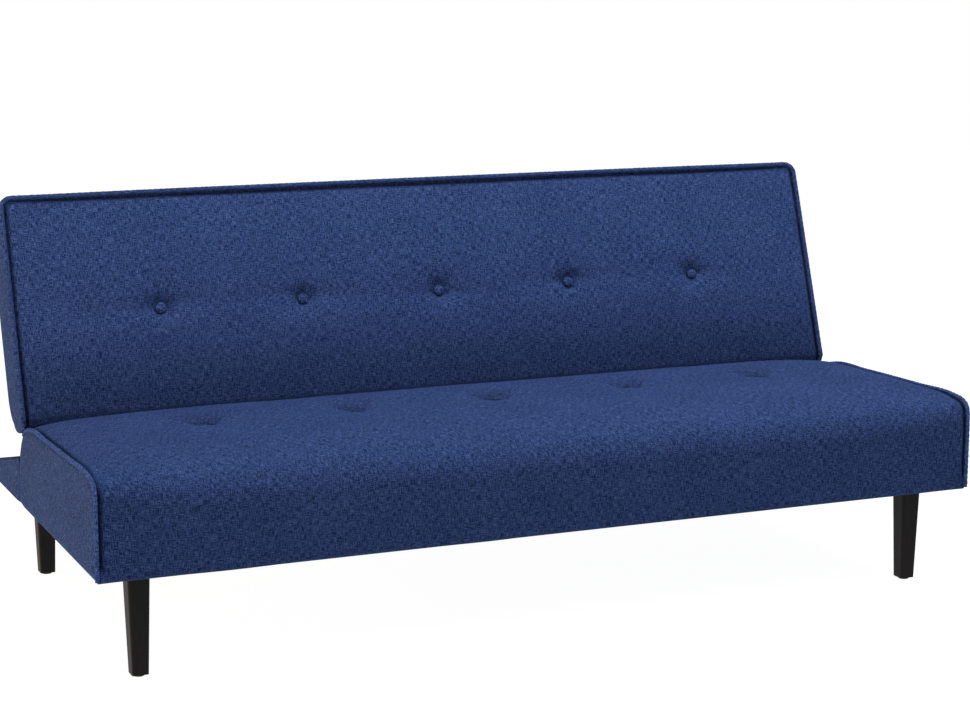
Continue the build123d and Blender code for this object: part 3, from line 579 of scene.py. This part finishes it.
def make_seat():
    """The seat's upholstery, and the foam inside it."""
    xs = x_samples(SEAM_X, MESH_STEP, MESH_FINE, MESH_EDGE)
    seat = padded_loft("seat_upholstery", xs, seat_rings(xs), SEAT_END_BULGE)
    shape_seat(seat)
    place(seat, UPHOLSTERY, "base", "upholstery", "seat_cover")
    coarse = x_samples(SEAM_X - 0.008, FOAM_STEP, FOAM_FINE, FOAM_EDGE)
    foam = padded_loft("seat_foam_block", coarse, seat_rings(coarse), 0.0, FOAM_RINGS, coarse[-1])
    trim_foam(foam)
    place(foam, FOAM, "base", "foam", "seat_foam")


def trim_foam(foam):
    """Draws the foam in under the cover, down onto the springs and away from the hinges."""
    x, y, z = mesh_points(foam).T
    shrunk = np.column_stack([x, np.clip(y, FRONT + 0.006, 0.2) * 0.985 - 0.001, z])
    shrunk[:, 2] = np.maximum(z - SEAT_PADDING, SPRING_DECK)
    hinge_pockets(shrunk, SLOT_FRONT - 0.012, 0.014)
    set_points(foam, shrunk)


# Backrest

BACK_RIGHT = np.array([1.0, 0, 0])
BACK_UP = np.array([0, sin(TILT), cos(TILT)])
BACK_REAR = np.array([0, cos(TILT), -sin(TILT)])
CORNER_R = 0.020
# Points on each stretch of a section: front, front top edge, top, rear top edge, rear, foot, front foot edge
BACK_COUNTS = (60, 12, 22, 16, 46, 26, 14)
BACK_TUFT_DEPTH, BACK_TUFT_REACH = 0.0135, 0.017
BACK_CREASE, BACK_TROUGH, BACK_GROOVE, BACK_PUCKER = 0.0022, 0.0022, 0.0055, 0.0006
BACK_PUCKER_SPACING = 0.014
# The back's foam lies between these places behind its front face.
FOAM_FRONT, FOAM_REAR = 0.0185, 0.0495


def back_place(x, rear, up):
    """The place in the sofa's frame of one given along, behind and up the back's front face."""
    return BACK_FOOT + x * BACK_RIGHT + rear * BACK_REAR + up * BACK_UP


def back_rings(xs):
    """Sections of the back in (behind its front face, up it), turned into the sofa's frame."""
    top, deep, low = BACK_LENGTH, BACK_THICK, BACK_LOW
    foot = [(deep, low + 0.048), (deep - 0.0135, low + 0.015), (deep - 0.044, low + 0.0005), (0.028, low)]
    end = sections([
        [(0.0, low + 0.016), (-0.0005, 0.2), (0.0, top - 0.006)],
        [(0.0, top - 0.006), (0.002, top - 0.0015), (0.009, top)],
        [(0.009, top), (0.05, top), (deep - 0.03, top - 0.001)],
        [(deep - 0.03, top - 0.001), (deep - 0.008, top - 0.009), (deep, top - 0.032)],
        [(deep, top - 0.032), (deep, 0.22), (deep, low + 0.048)],
        foot,
        [(0.028, low), (0.008, low + 0.003), (0.0, low + 0.016)],
    ], BACK_COUNTS)
    middle = sections([
        [(-0.001, low + 0.02), (-0.008, 0.10), (-0.0115, 0.23), (-0.007, 0.38), (0.000, top - 0.010)],
        [(0.000, top - 0.010), (0.004, top - 0.002), (0.013, top + 0.002)],
        [(0.013, top + 0.002), (0.045, top + 0.008), (deep - 0.028, top + 0.003)],
        [(deep - 0.028, top + 0.003), (deep - 0.004, top - 0.010), (deep + 0.001, top - 0.034)],
        [(deep + 0.001, top - 0.034), (deep + 0.001, 0.22), (deep, low + 0.048)],
        foot,
        [(0.028, low), (0.008, low + 0.003), (-0.001, low + 0.02)],
    ], BACK_COUNTS)
    full = swell(xs)[:, None, None]
    local = end[None] + full * (middle - end)[None]
    inward = np.clip(CORNER_R - (SEAM_X - np.abs(xs)), 0, CORNER_R)
    fall = CORNER_R - np.sqrt(CORNER_R ** 2 - inward ** 2)
    local[..., 1] -= fall[:, None] * smooth((local[..., 1] - top + 0.09) / 0.06)
    return back_place(0, local[..., :1], local[..., 1:])[..., 1:]


def shape_back(obj):
    """Tufts, the crease along them, taut pulls towards the corners, and the painted shade stored for its
    cloth.
    """
    co, out = mesh_points(obj), normals(obj)
    from_foot = co - BACK_FOOT
    x, up = co[:, 0], from_foot @ BACK_UP
    facing = -(out @ BACK_REAR)
    face = smooth((facing - 0.3) / 0.4)
    pull, painted_tuft_shade = np.zeros(len(co)), np.zeros(len(co))
    for i, tuft_x in enumerate(TUFTS_X):
        pull += tuft_pull(x - tuft_x, up - TUFT_UP, BACK_TUFT_DEPTH, BACK_TUFT_REACH, i + 5)
        # Painted shade: a soft dark patch round and above each button.
        painted_tuft_shade += np.exp(-((x - tuft_x) / 0.026) ** 2 - ((up - TUFT_UP - 0.012) / 0.020) ** 2)
        pull += BACK_CREASE * tuft_row(x - tuft_x, up - TUFT_UP, 0.09, i * 2.3)
    pull += BACK_TROUGH * np.exp(-((up - TUFT_UP) / 0.03) ** 2) * swell(x)
    co += BACK_REAR[None] * (pull * face)[:, None]
    wide = ripple(co, 0.17, 6) * 0.0016 + ripple(co, 0.05, 7) * 0.0005
    co += out * (wide * swell(x, 0.03))[:, None]
    edge = np.abs(np.abs(x) - SEAM_X)
    on_face = np.abs(out[:, 0]) < 0.6
    beside = np.exp(-((edge - 0.0045) / 0.0045) ** 2) * on_face
    corner_x = np.clip(np.abs(x) - SEAM_X + CORNER_R, 0, CORNER_R)
    top_line = BACK_LENGTH - 0.010 - CORNER_R + np.sqrt(np.clip(CORNER_R ** 2 - corner_x ** 2, 0, None))
    above = np.exp(-((up - top_line) / 0.0045) ** 2)
    groove = np.maximum(beside, above) * face
    co += BACK_REAR[None] * (BACK_GROOVE * groove)[:, None]
    pucker = np.sin(up * 2 * pi / BACK_PUCKER_SPACING + 3 * ripple(co, 0.06, 8)) * np.exp(-edge / 0.012)
    co += BACK_REAR[None] * (BACK_PUCKER * pucker * face)[:, None]
    set_points(obj, co)
    # Painted shade for the cloth: in the seam grooves, at the panels' front rims, round the buttons and
    # towards the foot.
    near_front = 1 - smooth((from_foot @ BACK_REAR - 0.008) / 0.01)
    low_down = BACK_FOOT_SHADE * (1 - smooth(up / 0.21))
    painted_seam_shade = GROOVE_SHADE * groove + RIM_SHADE * panel_edge(x) * near_front
    mark_painted_shade(obj, painted_seam_shade + (BACK_TUFT_SHADE * painted_tuft_shade + low_down) * face)


def make_back():
    """The back's upholstery, and the foam slab under its front face."""
    xs = x_samples(SEAM_X, MESH_STEP, MESH_FINE, MESH_EDGE)
    back = padded_loft("back_upholstery", xs, back_rings(xs), BACK_END_BULGE)
    shape_back(back)
    place(back, UPHOLSTERY, "backrest", "upholstery", "back_cover")
    coarse = x_samples(SEAM_X - 0.02, FOAM_STEP, FOAM_FINE, FOAM_EDGE)
    foam = padded_loft("back_foam_slab", coarse, back_rings(coarse), 0.0, FOAM_RINGS, coarse[-1])
    co = mesh_points(foam)
    rear = np.clip((co - BACK_FOOT) @ BACK_REAR, -0.02, 0.2)
    up = np.clip((co - BACK_FOOT) @ BACK_UP, BACK_LOW + 0.009, BACK_LENGTH - 0.008)
    rear = np.clip(rear + FOAM_FRONT, FOAM_FRONT, FOAM_REAR)
    set_points(foam, back_place(co[:, :1], rear[:, None], up[:, None]))
    place(foam, FOAM, "backrest", "foam", "back_foam")


# Base behind the seat

def make_base_rear():
    """The cover of the base behind the seat, with its sloping top."""
    xs = x_samples(SEAM_X, 0.02, 0.003, 0.06)
    under, rear, start = UNDER + 0.0005, BASE_HIGH[1], BASE_LOW[1] - 0.0006
    drop = (WEDGE_REAR - WEDGE_FRONT) / (rear - start)
    counts = (16, 26, 10, 16, 10)
    crest, halfway = WEDGE_FRONT - 0.002, 0.32
    section = sections([
        [(start, under), (start, crest)],
        [(start, crest), (halfway, crest + drop * (halfway - start)), (rear - 0.014, WEDGE_REAR + 0.0005)],
        [(rear - 0.014, WEDGE_REAR + 0.001), (rear - 0.004, WEDGE_REAR - 0.004),
         (rear, WEDGE_REAR - 0.016)],
        [(rear, WEDGE_REAR - 0.016), (rear, 0.21), (rear - 0.004, under + 0.001), (rear - 0.02, under)],
        [(rear - 0.02, under), (start, under)],
    ], counts)
    rings = np.repeat(section[None], len(xs), 0)
    cover = padded_loft("base_rear_upholstery", xs, rings, 0.001, 8)
    co, out = mesh_points(cover), normals(cover)
    co += out * (0.0008 * ripple(co, 0.12, 9) * swell(co[:, 0], 0.03))[:, None]
    set_points(cover, co)
    place(cover, UPHOLSTERY, "base", "upholstery", "base_rear_cover")


# Piping

def gathers(period, depth, seed):
    """Uneven folds along a piping."""
    def scale(run, angle):
        """How much thicker the piping is here than on average."""
        phase = 2 * pi * run / period + 2 * noise.noise(Vector((run * 40, seed, 0)))
        return 1 + depth * sin(phase) + 0.05 * noise.noise(Vector((run * 90, angle, seed)))
    return scale


def make_seat_piping():
    """Piping along each end of the seat's top, from under the back to the foot of the front corner."""
    for side, end in ((-1, "left"), (1, "right")):
        x = side * (HALF - WELT_R + 0.0022)
        r = WELT_R - 0.0014
        route = [(0.138, 0.3505), (0.126, 0.358), (0.112, 0.3632), (0.07, 0.3732), (-0.05, 0.3775),
                 (-0.25, 0.382), (FRONT + 0.05, 0.3832), (FRONT + 0.024, 0.3795),
                 (FRONT + 0.009, 0.3715), (FRONT + 0.0025, 0.3595), (FRONT + 0.001, 0.344),
                 (FRONT + 0.001, 0.32), (FRONT + 0.001, 0.28), (FRONT + 0.0015, UNDER + 0.002)]
        path = spline([(x, y, z) for y, z in route], 420)
        piping = tube(f"seat_piping_{end}", path, r, gathers(period=0.011, depth=0.09, seed=side * 3 + 7))
        place(piping, SEAT_PIPING_PAINTED_HIGHLIGHT, "base", "piping", f"seat_welt_{end}")


def make_back_piping():
    """One piping up, over and down the rim of the back's front face, tucked in under its foot."""
    side, top, corner = HALF - WELT_R + 0.0025, BACK_LENGTH - 0.0015, CORNER_R + 0.002
    turn = [(side - corner * (1 - sin(a)), top - corner * (1 - cos(a)))
            for a in (pi * 0.12, pi * 0.25, pi * 0.38)]
    straight = 0.012
    ends = [(side - 0.002, -0.001), (side - 0.0008, 0.003), (side, 0.012), (side, 0.024)]
    route = [(-x, up) for x, up in ends]
    route += [(-side, 0.12), (-side, 0.25), (-side, 0.36), (-side, top - corner - straight),
              (-side, top - corner)]
    route += [(-x, up) for x, up in reversed(turn)]
    route += [(-side + corner, top), (-side + corner + straight, top), (-0.6, top + 0.001),
              (-0.2, top + 0.0015), (0.2, top + 0.0015), (0.6, top + 0.001),
              (side - corner - straight, top), (side - corner, top)]
    route += turn
    route += [(side, top - corner), (side, top - corner - straight), (side, 0.36), (side, 0.25),
              (side, 0.12)]
    route += reversed(ends)
    tucked = [back_place(x, 0.0022 + 0.008 * smooth((0.012 - up) / 0.014), up) for x, up in route]
    piping = tube("back_piping", spline(tucked, 1500), WELT_R - 0.0005,
                  gathers(period=0.012, depth=0.04, seed=2))
    place(piping, PIPING, "backrest", "piping", "back_welt")


# Buttons

def make_button(name, centre, outward, material, body):
    """A fabric-covered button: a domed cap with its cloth drawn in under the rim."""
    radius = 0.0112
    outline = spline([(0, 0.0068), (0.0035, 0.0066), (0.0072, 0.0056), (0.0100, 0.0038), (radius, 0.0014),
                      (0.0108, -0.0006), (0.0090, -0.0018), (0.006, -0.002)], 16)
    turn = Vector((0, 0, 1)).rotation_difference(Vector(outward)).to_matrix()
    sides = 40
    verts = [Vector(centre) + turn @ Vector((0, 0, outline[0][1]))]
    for r, h in outline[1:]:
        for k in range(sides):
            angle = 2 * pi * k / sides
            fold = 1 + 0.012 * sin(9 * angle) * smooth(r / radius)
            verts.append(Vector(centre) + turn @ Vector((r * fold * cos(angle), r * fold * sin(angle), h)))
    faces = [(0, 1 + k, 1 + (k + 1) % sides) for k in range(sides)]
    for i in range(len(outline) - 2):
        a = 1 + i * sides
        b = a + sides
        faces += [(a + k, b + k, b + (k + 1) % sides, a + (k + 1) % sides) for k in range(sides)]
    faces.append(tuple(range(len(verts) - sides, len(verts)))[::-1])
    button = mesh_object(name, verts, faces)
    button.data.materials.append(material)
    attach(button, body)
    return button


def make_buttons():
    """Five buttons on the seat and five on the back. Making the first of each row hides the CAD's row."""
    seat_floor = BUTTON_LOW[2] + 0.002
    for i, x in enumerate(TUFTS_X):
        on_seat = make_button(f"seat_button_{i + 1}", (x, TUFT_Y, seat_floor), (0, 0, 1), BUTTON_CLOTH_PAINTED_SHADE,
                              "base")
        on_back = make_button(f"back_button_{i + 1}", back_place(x, 0.0012, TUFT_UP), tuple(-BACK_REAR),
                              BUTTON_CLOTH, "backrest")
        if i == 0:
            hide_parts("seat_buttons")
            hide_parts("back_buttons")


# Studio

def area_light(name, place_at, aim, size, power, colour=(1, 1, 1)):
    """A rectangular light of a size in metres and a power in watts, turned towards aim."""
    data = bpy.data.lights.new(name, "AREA")
    data.shape = "RECTANGLE"
    data.size, data.size_y = size
    data.energy = power
    data.color = colour
    lamp = bpy.data.objects.new(name, data)
    lamp.location = place_at
    lamp.rotation_euler = (Vector(aim) - Vector(place_at)).to_track_quat("-Z", "Y").to_euler()
    bpy.context.scene.collection.objects.link(lamp)


def make_studio():
    """A glowing white floor, a white surround, and lights from overhead and from the left."""
    reach = 90
    corners = [(-reach, -reach, 0), (reach, -reach, 0), (reach, reach, 0), (-reach, reach, 0)]
    floor = mesh_object("floor", corners, [(0, 1, 2, 3)])
    material, nodes, links, shader = new_material("studio_floor")
    shader.inputs["Base Color"].default_value = (0.12, 0.12, 0.12, 1)
    shader.inputs["Roughness"].default_value = 1.0
    shader.inputs["Specular IOR Level"].default_value = 0.0
    shader.inputs["Emission Color"].default_value = (1, 1, 1, 1)
    shader.inputs["Emission Strength"].default_value = 0.97
    floor.data.materials.append(material)
    world = bpy.data.worlds.new("studio")
    bpy.context.scene.world = world
    world.use_nodes = True
    world.node_tree.nodes["Background"].inputs[0].default_value = (1, 1, 1, 1)
    world.node_tree.nodes["Background"].inputs[1].default_value = 0.25
    area_light("overhead", (0.65, -1.0, 3.6), aim=(0.2, 0.0, 0.3), size=(5.0, 3.0), power=240)
    area_light("left_side", (-4.2, -0.3, 0.8), aim=(-0.9, 0, 0.35), size=(2.0, 1.4), power=150,
               colour=(1.0, 0.74, 0.47))
    scene = bpy.context.scene
    scene.view_settings.view_transform = "Standard"


def make_camera():
    """The viewer's place: in front of the sofa and to its left, a little above it."""
    data = bpy.data.cameras.new("camera")
    data.lens = 85.64
    data.sensor_width = 36
    camera = bpy.data.objects.new("camera", data)
    yaw, pitch = 0.4066, 0.1829
    camera.location = (-1.8065, -4.2379, 1.3007)
    camera.rotation_euler = (pi / 2 - pitch, 0, -yaw)
    bpy.context.scene.collection.objects.link(camera)
    bpy.context.scene.camera = camera


make_camera()
make_studio()
dress_cad()
make_seat()
make_back()
make_base_rear()
make_seat_piping()
make_back_piping()
make_buttons()
